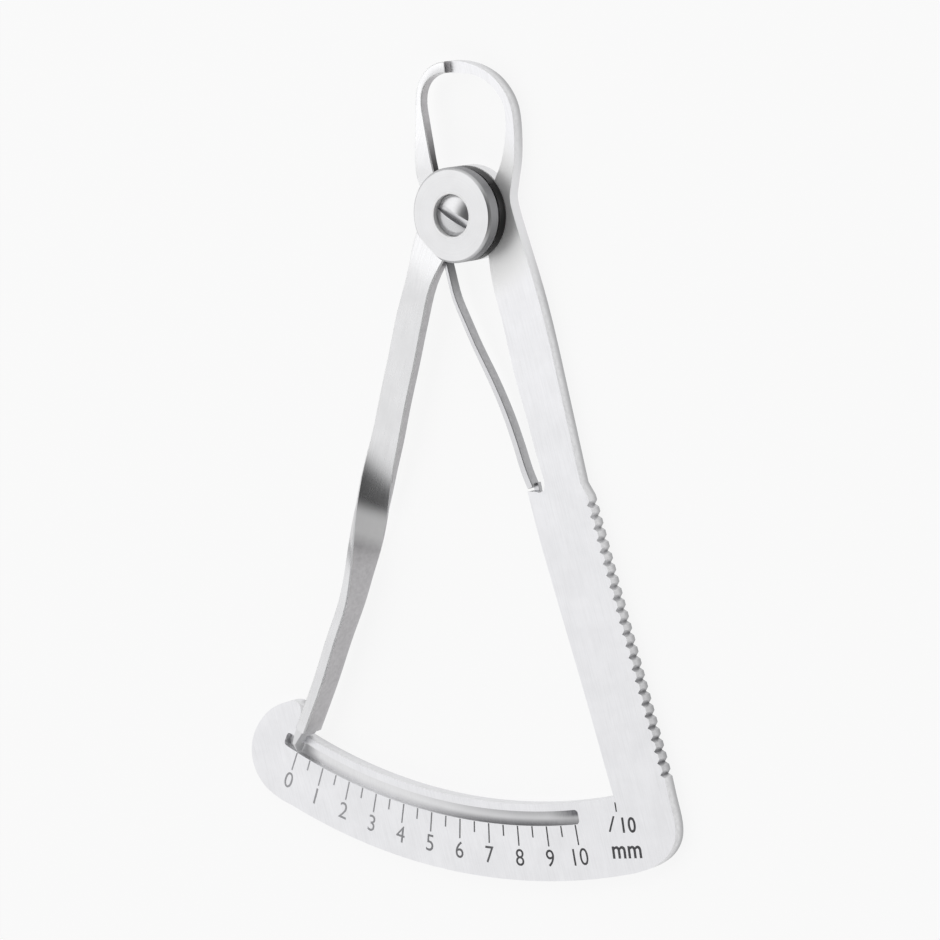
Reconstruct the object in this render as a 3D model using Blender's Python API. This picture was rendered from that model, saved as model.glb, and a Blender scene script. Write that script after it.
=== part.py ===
"""Decimal wax caliper: two steel levers on one pivot, a jaw above it and a scale below it.

The origin is on the pivot's axis, at the back of the scale plate. +Z comes out of the scale's
face, +Y runs to the jaws and +X to the arm that carries the scale. Lengths are in metres, and
the caliper is at rest, with its jaws closed.
"""

import math

import bmesh
import bpy
import numpy as np
from mathutils import Vector

# The clearance that every two neighbouring pieces keep
GAP = 0.0003
# How far a cutter runs past the face that it opens
OVERRUN = 0.001

# The scale plate: an arc of this inner radius about the pivot, and the band that carries the scale
SCALE_RADIUS = 0.07545
SCALE_BAND = 0.00995
PLATE_THICKNESS = 0.0018
# The pointer's edge stands at this angle from straight down when the jaws are closed
ZERO_ANGLE = math.radians(-26.33)

# The track that is milled in the scale's face for the pointer's tine
LIP_WIDTH = 0.00095
TRACK_WIDTH = 0.00186
TRACK_DEPTH = 0.0008
TRACK_START = math.radians(-28.1)
TRACK_END = math.radians(7.2)
TRACK_CORNER_RADIUS = 0.0005

# The serrated grip along the arm's outer edge
GRIP_PITCH = 0.00151
GRIP_DEPTH = 0.00048

# The pivot: the round head of both levers, and what is stacked on it
HEAD_RADIUS = 0.006
LEVER_THICKNESS = 0.0013
SHANK_RADIUS = 0.001
BUSH_RADIUS = 0.0021
WASHER_RADIUS = 0.0041
WASHER_THICKNESS = 0.0005
WAVE_INNER_RADIUS = 0.0034
WAVE_WIDTH = 0.0012
WAVE_THICKNESS = 0.0002
WAVE_HEIGHT = 0.0002
WAVES = 3
DISC_RADIUS = 0.006
DISC_THICKNESS = 0.0018
DISC_CHAMFER = 0.0003
DISC_FLOOR = 0.0006
DISC_FLAT_DISTANCE = 0.0055
DISC_FLAT_TURN = math.radians(223.8)
SCREW_HEAD_RADIUS = 0.0024
SCREW_HEAD_SIDE = 0.0005
SCREW_DOME = 0.0003
SLOT_WIDTH = 0.00055
SLOT_DEPTH = 0.0004
SLOT_TURN = math.radians(-34)

# The pointer arm: a flat bar that twists on edge and ends in a tine
BAR_WIDTH = 0.0043
BAR_THICKNESS = 0.00162
BAR_CHAMFER = 0.00018
BAR_CLEAR = 0.0001
BAR_TWIST = math.radians(89)
TINE_LENGTH = 0.0044
TINE_POINT_WIDTH = 0.00015

# The pointer lever's jaw, a bent and tapered finger
JAW_WIDTH = 0.0027
JAW_THICKNESS = 0.0014
JAW_CHAMFER = 0.00014

# The leaf spring, with a tail let into the back of the scale arm
SPRING_THICKNESS = 0.0009
SPRING_WIDTH = 0.0016
SPRING_LIFT = 0.0012
SPRING_CLEAR = 0.0001
SPRING_CHAMFER = 0.00008
TAIL_WIDTH = 0.0007
TAIL_THICKNESS = 0.0007
TAIL_CLEAR = 0.0002

# The tine's flank in flat pieces, as corners of its profile: its root, nose, bevel and prong
TINE_FLANK = ((0, 1, 2, 8, 9), (2, 3, 7, 8), (3, 6, 7), (3, 4, 5, 6))

# Segments of a round piece and steps between two points of an outline
SEGMENTS = 72
STEPS = 4

# Outlines as x and y shares of the scale's radius, clockwise from the jaw's tip
OUTER_EDGE_SHARES = (
    (-0.0126, 0.2538), (0.0106, 0.2512), (0.0424, 0.2412), (0.0702, 0.2240), (0.0901, 0.2015),
    (0.1021, 0.1763), (0.1060, 0.1445), (0.1021, 0.0875), (0.0928, 0.0490), (0.0868, 0.0212),
    (0.0915, -0.0066), (0.1034, -0.0504), (0.1312, -0.1564), (0.1617, -0.3181), (0.1849, -0.4546),
)
GRIP_START_SHARE = (0.1975, -0.4758)
GRIP_END_SHARE = (0.3075, -0.9437)
INNER_EDGE_SHARES = (
    (0.2028, -0.9795), (0.1842, -0.9052), (0.1630, -0.8178), (0.1116, -0.6203), (0.0890, -0.5288),
    (0.0762, -0.4679),
)
SPRING_SLOT_SHARES = (
    (0.0921, -0.4679), (0.0994, -0.4698), (0.1080, -0.4665), (0.1120, -0.4573), (0.1060, -0.4281),
    (0.0981, -0.3976), (0.0875, -0.3486), (0.0729, -0.2916), (0.0649, -0.2545), (0.0517, -0.1803),
    (0.0398, -0.1272), (0.0364, -0.1007), (0.0345, -0.0716),
)
JAW_INNER_SHARES = (
    (0.0591, 0.0530), (0.0716, 0.0742), (0.0808, 0.0981), (0.0881, 0.1272), (0.0908, 0.1551),
    (0.0888, 0.1750), (0.0795, 0.1935), (0.0649, 0.2101), (0.0464, 0.2227), (0.0265, 0.2300),
    (-0.0126, 0.2339),
)
# The scale's two ends: degrees from straight down, and share of the band from its inner edge
CORNER_SHARES = ((17.8, 0.18), (17.44, 0.55), (16.84, 0.74), (15.6, 0.89), (13.8, 0.975), (12.0, 1.0))
HOOK_SHARES = (
    (-25.0, 1.0), (-27.0, 1.01), (-29.0, 0.95), (-30.6, 0.78), (-31.45, 0.55), (-31.6, 0.28),
    (-31.0, -0.01), (-29.6, -0.25), (-28.4, -0.35), (-27.7, -0.33), (-27.2, -0.18), (-26.7, 0.0),
)
# Centre lines: x, y, width share, thickness share, share of the rise and share of the twist
BAR_SHARES = (
    (-0.0199, 0.0106, 1.31, 0.65, 0.75, 0.00), (-0.0610, -0.0424, 1.29, 0.80, 0.85, 0.00),
    (-0.0936, -0.1060, 0.94, 1.00, 1.00, 0.00), (-0.1239, -0.1743, 0.99, 0.94, 0.72, 0.00),
    (-0.1498, -0.2432, 1.00, 0.88, 0.50, 0.00), (-0.1763, -0.3108, 1.00, 0.86, 0.28, 0.00),
    (-0.1981, -0.3704, 1.00, 0.86, 0.10, 0.02), (-0.2236, -0.4321, 1.00, 0.86, 0.00, 0.14),
    (-0.2466, -0.4962, 1.00, 0.86, 0.00, 0.39), (-0.2668, -0.5556, 1.00, 0.86, 0.00, 0.67),
    (-0.2878, -0.6120, 0.99, 0.86, 0.00, 0.89), (-0.3082, -0.6614, 0.97, 0.90, 0.00, 0.98),
    (-0.3426, -0.7263, 0.93, 0.96, 0.00, 1.00), (-0.3777, -0.7972, 0.88, 1.00, 0.00, 1.00),
)
JAW_SHARES = (
    (-0.0265, 0.0265, 1.15, 0.90, 1.00), (-0.0640, 0.0596, 1.08, 0.92, 1.00),
    (-0.0689, 0.0822, 1.00, 0.95, 1.00), (-0.0709, 0.1193, 0.78, 1.00, 0.85),
    (-0.0722, 0.1564, 0.52, 1.00, 0.62), (-0.0736, 0.1856, 0.38, 1.00, 0.40),
    (-0.0709, 0.2068, 0.38, 1.00, 0.25), (-0.0623, 0.2240, 0.41, 1.00, 0.12),
    (-0.0477, 0.2366, 0.47, 1.00, 0.03), (-0.0318, 0.2425, 0.52, 1.00, 0.00),
    (-0.0166, 0.2439, 0.54, 1.00, 0.00),
)
SPRING_SHARES = (
    (-0.0437, -0.0890, 0.55, 1.0), (-0.0339, -0.1392, 0.60, 0.97), (-0.0212, -0.1736, 0.65, 0.90),
    (-0.0020, -0.2213, 0.70, 0.80), (0.0258, -0.2836, 0.80, 0.60), (0.0464, -0.3393, 0.88, 0.40),
    (0.0603, -0.3897, 0.95, 0.20), (0.0709, -0.4334, 1.00, 0.05), (0.0815, -0.4619, 1.00, 0.0),
)
TAIL_SHARES = ((0.0855, -0.4546), (0.0901, -0.4824), (0.1047, -0.5169), (0.1180, -0.5514))

# Heights that follow from the pieces stacked on the plate
RECESS_DEPTH = WASHER_THICKNESS + GAP
RECESS_FLOOR = PLATE_THICKNESS - RECESS_DEPTH
LEVER_BOTTOM = PLATE_THICKNESS + GAP
LEVER_TOP = LEVER_BOTTOM + LEVER_THICKNESS
DISC_BOTTOM = LEVER_TOP + GAP
SCREW_SEAT = DISC_BOTTOM + DISC_FLOOR
WAVE_ROOM = WAVE_THICKNESS + WAVE_HEIGHT + GAP
WAVE_OUTER_RADIUS = WAVE_INNER_RADIUS + WAVE_WIDTH
BAR_LOW = BAR_CLEAR + BAR_WIDTH / 2
BAR_HIGH = LEVER_BOTTOM + BAR_THICKNESS / 2 + GAP / 3
JAW_LOW = PLATE_THICKNESS + JAW_THICKNESS / 8
JAW_HIGH = LEVER_BOTTOM + LEVER_THICKNESS / 2
SPRING_LOW = SPRING_CLEAR + SPRING_WIDTH / 2
TRACK_INNER = SCALE_RADIUS + LIP_WIDTH
TRACK_OUTER = TRACK_INNER + TRACK_WIDTH
TRACK_FLOOR = PLATE_THICKNESS - TRACK_DEPTH


def material(name, colour, roughness):
    """A bare steel surface."""
    made = bpy.data.materials.new(name)
    made.use_nodes = True
    shader = made.node_tree.nodes["Principled BSDF"]
    shader.inputs["Base Color"].default_value = (*colour, 1.0)
    shader.inputs["Roughness"].default_value = roughness
    shader.inputs["Metallic"].default_value = 1.0
    return made


def below(radius, angle):
    """The point at this radius and at this angle from straight down, counted towards +X."""
    return np.array((radius * math.sin(angle), -radius * math.cos(angle)))


def arc(radius, start, end, steps):
    """Points of an arc about the pivot, both ends included."""
    return [below(radius, start + (end - start) * i / steps) for i in range(steps + 1)]


def angle_of(point):
    """The angle of a point from straight down, towards +X."""
    return math.atan2(point[0], -point[1])


def placed(shares):
    """Outline shares as points in metres."""
    return [np.array(share) * SCALE_RADIUS for share in shares]


def on_band(shares):
    """Points of the scale's ends, from their angle and their share of the band."""
    return [below(SCALE_RADIUS + SCALE_BAND * share, math.radians(turn)) for turn, share in shares]


def smooth(rows, steps=STEPS):
    """A smooth run through rows that start with x and y, all their other values blended alike."""
    rows = np.array(rows, float)
    rows = np.vstack([2 * rows[0] - rows[1], rows, 2 * rows[-1] - rows[-2]])
    spans = np.sqrt(np.linalg.norm(np.diff(rows[:, :2], axis=0), axis=1))
    knots = np.concatenate([[0], np.cumsum(spans)])
    run = []
    for i in range(1, len(rows) - 2):
        a, b, c, d = rows[i - 1 : i + 3]
        ta, tb, tc, td = knots[i - 1 : i + 3]
        for step in range(steps):
            t = tb + (tc - tb) * step / steps
            ab = a + (b - a) * (t - ta) / (tb - ta)
            bc = b + (c - b) * (t - tb) / (tc - tb)
            cd = c + (d - c) * (t - tc) / (td - tc)
            abc = ab + (bc - ab) * (t - ta) / (tc - ta)
            bcd = bc + (cd - bc) * (t - tb) / (td - tb)
            run.append(abc + (bcd - abc) * (t - tb) / (tc - tb))
    run.append(rows[-2])
    return run


def serrated(start, end):
    """A straight edge with V grooves cut into it, whose crests stay on the line."""
    start, end = np.array(start), np.array(end)
    length = np.linalg.norm(end - start)
    along = (end - start) / length
    inward = np.array((along[1], -along[0]))
    count = round(length / GRIP_PITCH)
    pitch = length / count
    edge = []
    for i in range(count):
        crest = start + along * pitch * i
        edge.append(crest)
        edge.append(crest + along * pitch * 0.42)
        edge.append(crest + along * pitch * 0.71 + inward * GRIP_DEPTH)
    edge.append(end)
    return edge


def ribbon(points, width):
    """The outline of a band of this width along a line."""
    points = [Vector(point) for point in points]
    left, right = [], []
    for i, point in enumerate(points):
        along = (points[min(i + 1, len(points) - 1)] - points[max(i - 1, 0)]).normalized()
        side = Vector((-along.y, along.x)) * width / 2
        left.append(point + side)
        right.append(point - side)
    return left + right[::-1]


def lengthened(points, length):
    """A line with both its ends carried on."""
    first, last = points[0] - points[1], points[-1] - points[-2]
    start = points[0] + first / np.linalg.norm(first) * length
    end = points[-1] + last / np.linalg.norm(last) * length
    return [start, *points[1:-1], end]


def solid_of(name, mesh, look=None, cutter=False):
    """Makes the object of a finished bmesh, with its faces pointing out."""
    bmesh.ops.recalc_face_normals(mesh, faces=mesh.faces)
    data = bpy.data.meshes.new(name)
    mesh.to_mesh(data)
    mesh.free()
    data.shade_smooth()
    data.set_sharp_from_angle(angle=math.radians(25))
    made = bpy.data.objects.new(name, data)
    bpy.context.scene.collection.objects.link(made)
    if look:
        data.materials.append(look)
    if cutter:
        made.hide_render = True
        made.display_type = "WIRE"
    return made


def prism(name, outline, bottom, top, **kind):
    """An outline carried up from one height to another."""
    mesh = bmesh.new()
    face = mesh.faces.new([mesh.verts.new((*point, bottom)) for point in outline])
    raised = bmesh.ops.extrude_face_region(mesh, geom=[face])["geom"]
    raised = [part for part in raised if isinstance(part, bmesh.types.BMVert)]
    bmesh.ops.translate(mesh, vec=(0, 0, top - bottom), verts=raised)
    return solid_of(name, mesh, **kind)


def turned(name, profile, **kind):
    """A closed profile of radii and heights, spun about the pivot's axis."""
    mesh = bmesh.new()
    ring = [mesh.verts.new((radius, 0, height)) for radius, height in profile]
    closed = [*ring, ring[0]]
    edges = [mesh.edges.new(pair) for pair in zip(closed, closed[1:]) if not on_axis(pair)]
    bmesh.ops.spin(
        mesh, geom=ring + edges, cent=(0, 0, 0), axis=(0, 0, 1), angle=math.tau,
        steps=SEGMENTS, use_merge=True,
    )
    bmesh.ops.remove_doubles(mesh, verts=mesh.verts, dist=GAP / 1000)
    return solid_of(name, mesh, **kind)


def on_axis(pair):
    """Whether an edge of a profile lies on the axis, where the turned piece has no face."""
    return all(abs(vert.co.x) < GAP / 1000 for vert in pair)


def tube(name, inner, outer, bottom, top, **kind):
    """A plain ring about the pivot's axis, or a rod where the inner radius is 0."""
    return turned(name, ((inner, bottom), (outer, bottom), (outer, top), (inner, top)), **kind)


def lofted(name, sections, **kind):
    """A closed skin over rings of points, each with as many, capped at both ends."""
    mesh = bmesh.new()
    rings = [[mesh.verts.new(point) for point in section] for section in sections]
    for ring, following in zip(rings, rings[1:]):
        for i in range(len(ring)):
            j = (i + 1) % len(ring)
            mesh.faces.new((ring[i], ring[j], following[j], following[i]))
    mesh.faces.new(rings[0])
    mesh.faces.new(rings[-1])
    return solid_of(name, mesh, **kind)


def bar_sections(rows, chamfer):
    """Chamfered sections along rows of x, y, width, thickness, height and twist."""
    sections = []
    for i, (x, y, width, thickness, height, twist) in enumerate(rows):
        before, after = rows[max(i - 1, 0)], rows[min(i + 1, len(rows) - 1)]
        along = Vector((after[0] - before[0], after[1] - before[1], 0)).normalized()
        left = Vector((along.y, -along.x, 0))
        across = left * math.cos(twist) + Vector((0, 0, 1)) * math.sin(twist)
        through = along.cross(across)
        w, t, c = width / 2, thickness / 2, chamfer
        corners = (
            (w - c, t), (w, t - c), (w, c - t), (w - c, -t),
            (c - w, -t), (-w, c - t), (-w, t - c), (c - w, t),
        )
        centre = Vector((x, y, height))
        sections.append([centre + across * a + through * b for a, b in corners])
    return sections


def operate(target, other, operation):
    """Joins another solid to this one, or cuts it out of this one."""
    step = target.modifiers.new(other.name, "BOOLEAN")
    step.operation = operation
    step.solver = "EXACT"
    step.object = other
    other.hide_render = True
    other.display_type = "WIRE"


def scale_arm(look):
    """The scale plate with its grip, its hook and the jaw, cut from one sheet."""
    outline = smooth(placed(OUTER_EDGE_SHARES))
    outline += serrated(*placed((GRIP_START_SHARE, GRIP_END_SHARE)))
    outline += smooth(on_band(CORNER_SHARES))
    outer = SCALE_RADIUS + SCALE_BAND
    right, left = math.radians(CORNER_SHARES[-1][0]), math.radians(HOOK_SHARES[0][0])
    outline += arc(outer, right, left, 40)[1:-1]
    outline += smooth(on_band(HOOK_SHARES))
    inner_edge = smooth(placed(INNER_EDGE_SHARES))
    outline += arc(SCALE_RADIUS, math.radians(HOOK_SHARES[-1][0]), angle_of(inner_edge[0]), 40)[1:-1]
    outline += inner_edge
    slot = smooth(placed(SPRING_SLOT_SHARES))
    jaw = smooth(placed(JAW_INNER_SHARES))
    outline += slot
    outline += arc(HEAD_RADIUS, angle_of(slot[-1]), angle_of(jaw[0]) - math.tau, 48)[1:-1]
    outline += jaw
    plate = prism("scale_arm", outline, 0, PLATE_THICKNESS, look=look)

    operate(plate, track_cutter(), "DIFFERENCE")
    recess = tube("washer_recess", 0, WASHER_RADIUS + GAP, RECESS_FLOOR,
                  PLATE_THICKNESS + OVERRUN, cutter=True)
    operate(plate, recess, "DIFFERENCE")
    hole = tube("screw_hole", 0, SHANK_RADIUS + GAP, -OVERRUN, PLATE_THICKNESS + OVERRUN, cutter=True)
    operate(plate, hole, "DIFFERENCE")
    pocket = ribbon(lengthened(smooth(placed(TAIL_SHARES)), GAP), TAIL_WIDTH + 2 * GAP)
    roof = TAIL_CLEAR + TAIL_THICKNESS + GAP
    operate(plate, prism("spring_pocket", pocket, -OVERRUN, roof, cutter=True), "DIFFERENCE")
    return plate


def track_cutter():
    """The track's room: a band of an arc with rounded corners."""
    round_off, steps = TRACK_CORNER_RADIUS, 5
    outline = []
    for radius, turn, first in (
        (TRACK_OUTER - round_off, TRACK_END, 0), (TRACK_INNER + round_off, TRACK_END, 1),
        (TRACK_INNER + round_off, TRACK_START, 2), (TRACK_OUTER - round_off, TRACK_START, 3),
    ):
        inward = 1 if turn == TRACK_START else -1
        turn += inward * round_off / radius
        centre = below(radius, turn)
        outline += [centre + below(round_off, turn + math.pi / 2 * (first + i / steps))
                    for i in range(steps + 1)]
        if first == 1:
            outline += arc(TRACK_INNER, turn, TRACK_START + round_off / radius, 48)[1:-1]
    outline += arc(TRACK_OUTER, turn, TRACK_END - round_off / TRACK_OUTER, 48)[1:-1]
    return prism("pointer_track", outline, TRACK_FLOOR, PLATE_THICKNESS + OVERRUN, cutter=True)


def pointer_arm(look):
    """The lever in front: a round head with the moving jaw, the twisted bar and its tine."""
    seat_room = BAR_HIGH + BAR_THICKNESS
    arm = tube("pointer_arm", 0, HEAD_RADIUS, LEVER_BOTTOM, seat_room, look=look)

    half = BAR_THICKNESS * BAR_SHARES[-1][3] / 2
    rows = []
    for x, y, width, thickness, rise, twist in BAR_SHARES:
        height = BAR_LOW + (BAR_HIGH - BAR_LOW) * rise
        rows.append((x * SCALE_RADIUS, y * SCALE_RADIUS, width * BAR_WIDTH,
                     thickness * BAR_THICKNESS, height, twist * BAR_TWIST))
    end_radius = SCALE_RADIUS - GAP - OVERRUN
    sideways = np.array((math.cos(ZERO_ANGLE), math.sin(ZERO_ANGLE)))
    end = below(end_radius, ZERO_ANGLE) + sideways * half
    rows.append((*end, *rows[-1][2:]))
    bar = lofted("pointer_bar", bar_sections(smooth(rows), BAR_CHAMFER), cutter=True)
    operate(arm, bar, "UNION")

    rows = []
    for x, y, width, thickness, rise in JAW_SHARES:
        height = JAW_LOW + (JAW_HIGH - JAW_LOW) * rise
        rows.append((x * SCALE_RADIUS, y * SCALE_RADIUS, width * JAW_WIDTH,
                     thickness * JAW_THICKNESS, height, 0))
    jaw = lofted("moving_jaw", bar_sections(smooth(rows), JAW_CHAMFER), cutter=True)
    operate(arm, jaw, "UNION")
    operate(arm, tine(half * 2, BAR_SHARES[-1][2] * BAR_WIDTH), "UNION")

    seat = tube("disc_seat", 0, DISC_RADIUS + GAP, LEVER_TOP, seat_room + OVERRUN, cutter=True)
    operate(arm, seat, "DIFFERENCE")
    bore = tube("bush_bore", 0, BUSH_RADIUS + GAP, LEVER_BOTTOM - OVERRUN,
                seat_room + OVERRUN, cutter=True)
    operate(arm, bore, "DIFFERENCE")
    return arm


def tine(thickness, depth):
    """The bar's end, cut away under the lip and sharpened on its right side, down in the track."""
    start = SCALE_RADIUS - GAP - TINE_LENGTH / 2
    tip = TRACK_OUTER - GAP
    low, high = BAR_LOW - depth / 2 + BAR_CHAMFER, BAR_LOW + depth / 2 - BAR_CHAMFER
    over_lip = PLATE_THICKNESS + GAP
    in_track = TRACK_FLOOR + GAP
    profile = (
        (start, low), (SCALE_RADIUS - GAP, low), (SCALE_RADIUS - GAP, over_lip),
        (TRACK_INNER + GAP, over_lip), (TRACK_INNER + GAP, in_track), (tip, in_track),
        (tip, over_lip), (TRACK_INNER, high - BAR_CHAMFER), (SCALE_RADIUS - GAP, high), (start, high),
    )
    outward = below(1, ZERO_ANGLE)
    sideways = np.array((math.cos(ZERO_ANGLE), math.sin(ZERO_ANGLE)))
    inset = BAR_CHAMFER / 2
    mesh = bmesh.new()
    left, right = [], []
    for radius, height in profile:
        width = thickness - (thickness - TINE_POINT_WIDTH) * (radius - start) / (tip - start)
        left.append(mesh.verts.new((*(outward * radius + sideways * inset), height)))
        right.append(mesh.verts.new((*(outward * radius + sideways * max(width - inset, inset * 2)), height)))
    for flank in (left, right):
        for corners in TINE_FLANK:
            mesh.faces.new([flank[corner] for corner in corners])
    for i in range(len(left)):
        j = (i + 1) % len(left)
        mesh.faces.new((left[i], left[j], right[j], right[i]))
    return solid_of("tine", mesh, cutter=True)


def leaf_spring(look):
    """A blade that leans on the pointer lever, thinner towards its tip, with a tail at its foot."""
    rows = []
    for x, y, thickness, lift in SPRING_SHARES:
        height = SPRING_LOW + SPRING_LIFT * lift
        rows.append((x * SCALE_RADIUS, y * SCALE_RADIUS, thickness * SPRING_THICKNESS,
                     SPRING_WIDTH, height, 0))
    spring = lofted("leaf_spring", bar_sections(smooth(rows), SPRING_CHAMFER), look=look)
    tail = ribbon(smooth(placed(TAIL_SHARES)), TAIL_WIDTH)
    operate(spring, prism("spring_tail", tail, TAIL_CLEAR, TAIL_CLEAR + TAIL_THICKNESS, cutter=True),
            "UNION")
    return spring


def joint_disc(look):
    """The round cap over the lever's head, with a counterbore above and a groove below."""
    edge = DISC_RADIUS - DISC_CHAMFER
    top = DISC_THICKNESS
    profile = (
        (SHANK_RADIUS + GAP, 0), (WAVE_INNER_RADIUS - GAP, 0), (WAVE_INNER_RADIUS - GAP, WAVE_ROOM),
        (WAVE_OUTER_RADIUS + GAP, WAVE_ROOM), (WAVE_OUTER_RADIUS + GAP, 0), (DISC_RADIUS, 0),
        (DISC_RADIUS, top - DISC_CHAMFER), (edge, top), (SCREW_HEAD_RADIUS + GAP, top),
        (SCREW_HEAD_RADIUS + GAP, DISC_FLOOR), (SHANK_RADIUS + GAP, DISC_FLOOR),
    )
    disc = turned("joint_disc", profile, look=look)
    reach = DISC_RADIUS + OVERRUN
    flat = prism(
        "disc_flat",
        ((DISC_FLAT_DISTANCE, -reach), (reach, -reach), (reach, reach), (DISC_FLAT_DISTANCE, reach)),
        -OVERRUN, DISC_THICKNESS + OVERRUN, cutter=True,
    )
    flat.rotation_euler.z = DISC_FLAT_TURN
    flat.parent = disc
    operate(disc, flat, "DIFFERENCE")
    disc.location.z = DISC_BOTTOM
    return disc


def pivot_screw(look):
    """A slotted screw with a low domed head, whose shank ends flush with the plate's back."""
    side, dome = SCREW_HEAD_SIDE, SCREW_HEAD_SIDE + SCREW_DOME
    shank = SCREW_SEAT + GAP
    profile = [(0, -shank), (SHANK_RADIUS, -shank), (SHANK_RADIUS, 0), (SCREW_HEAD_RADIUS, 0)]
    for i in range(7):
        turn = math.pi / 2 * i / 6
        profile.append((SCREW_HEAD_RADIUS * math.cos(turn), side + (dome - side) * math.sin(turn)))
    profile[-1] = (0, dome)
    screw = turned("pivot_screw", profile, look=look)
    half, reach = SLOT_WIDTH / 2, SCREW_HEAD_RADIUS + OVERRUN
    slot = prism(
        "screw_slot", ((-reach, -half), (reach, -half), (reach, half), (-reach, half)),
        dome - SLOT_DEPTH, dome + OVERRUN, cutter=True,
    )
    slot.rotation_euler.z = SLOT_TURN
    slot.parent = screw
    operate(screw, slot, "DIFFERENCE")
    screw.location.z = SCREW_SEAT + GAP
    return screw


def wave_washer(look):
    """A thin spring washer that rises and falls as it goes round."""
    sections = []
    for i in range(SEGMENTS):
        turn = math.tau * i / SEGMENTS
        lift = WAVE_HEIGHT / 2 * (1 + math.cos(WAVES * turn))
        top = lift + WAVE_THICKNESS
        rim = ((WAVE_INNER_RADIUS, lift), (WAVE_OUTER_RADIUS, lift), (WAVE_OUTER_RADIUS, top),
               (WAVE_INNER_RADIUS, top))
        spoke = Vector((math.cos(turn), math.sin(turn), 0))
        sections.append([spoke * radius + Vector((0, 0, height)) for radius, height in rim])
    mesh = bmesh.new()
    rings = [[mesh.verts.new(point) for point in section] for section in sections]
    for ring, following in zip(rings, [*rings[1:], rings[0]]):
        for i in range(len(ring)):
            j = (i + 1) % len(ring)
            mesh.faces.new((ring[i], ring[j], following[j], following[i]))
    washer = solid_of("wave_washer", mesh, look=look)
    washer.location.z = LEVER_TOP + GAP
    return washer


def main():
    for old in list(bpy.data.objects):
        bpy.data.objects.remove(old)

    scale_arm(material("satin_plate_steel", (0.80, 0.81, 0.83), 0.34))
    axis = bpy.data.objects.new("pivot_axis", None)
    bpy.context.scene.collection.objects.link(axis)
    arm = pointer_arm(material("polished_lever_steel", (0.76, 0.77, 0.79), 0.26))
    arm.parent = axis
    leaf_spring(material("spring_steel", (0.66, 0.67, 0.69), 0.30))
    joint_disc(material("turned_disc_steel", (0.82, 0.82, 0.83), 0.30))
    pivot_screw(material("screw_steel", (0.70, 0.70, 0.71), 0.28))

    bush = tube("pivot_bush", SHANK_RADIUS + GAP, BUSH_RADIUS, 0,
                LEVER_TOP - RECESS_FLOOR - GAP, look=material("bush_steel", (0.62, 0.62, 0.63), 0.35))
    bush.location.z = RECESS_FLOOR + GAP
    washer = tube("friction_washer", BUSH_RADIUS + GAP, WASHER_RADIUS, 0, WASHER_THICKNESS,
                  look=material("washer_bronze", (0.72, 0.52, 0.28), 0.40))
    washer.location.z = RECESS_FLOOR + GAP
    wave_washer(material("wave_washer_steel", (0.60, 0.61, 0.63), 0.30))


main()
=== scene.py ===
import logging
import math
from dataclasses import dataclass, field
from enum import Enum
from typing import Any, Callable

import bmesh
import bpy
from mathutils import Matrix, Vector

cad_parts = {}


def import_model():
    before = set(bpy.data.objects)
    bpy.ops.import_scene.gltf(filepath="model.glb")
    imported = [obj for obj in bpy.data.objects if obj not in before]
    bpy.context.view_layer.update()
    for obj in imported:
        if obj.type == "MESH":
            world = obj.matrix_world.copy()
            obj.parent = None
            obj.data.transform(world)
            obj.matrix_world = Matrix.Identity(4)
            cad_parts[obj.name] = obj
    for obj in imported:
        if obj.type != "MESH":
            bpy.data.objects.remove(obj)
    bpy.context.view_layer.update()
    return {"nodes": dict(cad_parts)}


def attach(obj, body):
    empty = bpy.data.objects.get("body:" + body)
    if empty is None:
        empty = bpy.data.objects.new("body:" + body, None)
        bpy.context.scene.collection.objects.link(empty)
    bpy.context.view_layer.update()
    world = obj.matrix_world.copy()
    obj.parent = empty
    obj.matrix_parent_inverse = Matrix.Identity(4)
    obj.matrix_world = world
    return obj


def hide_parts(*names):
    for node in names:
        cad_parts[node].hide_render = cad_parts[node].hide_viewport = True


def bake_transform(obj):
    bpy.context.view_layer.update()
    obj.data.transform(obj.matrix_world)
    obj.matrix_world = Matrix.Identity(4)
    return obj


LOG = logging.getLogger("wax_caliper")

Colour = tuple[float, float, float]
Rule = Callable[[Vector, Vector], bool]

WHITE = (1.0, 1.0, 1.0)

# Distance from the axis up to which the painted shade at the pivot is deepest
PAINTED_SHADE_RADIUS = 0.0061

# Half the height of the strip over which a look changes from below the axis to above it
AXIS_STRIP = 0.001


class Body(Enum):
    """The two bodies that move against each other."""

    SCALE = "scale_body"
    POINTER = "pointer_body"


class Grain(Enum):
    """The way in which a steel face was finished."""

    SATIN = "satin"
    BRUSHED = "brushed"
    TURNED = "turned"


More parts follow.
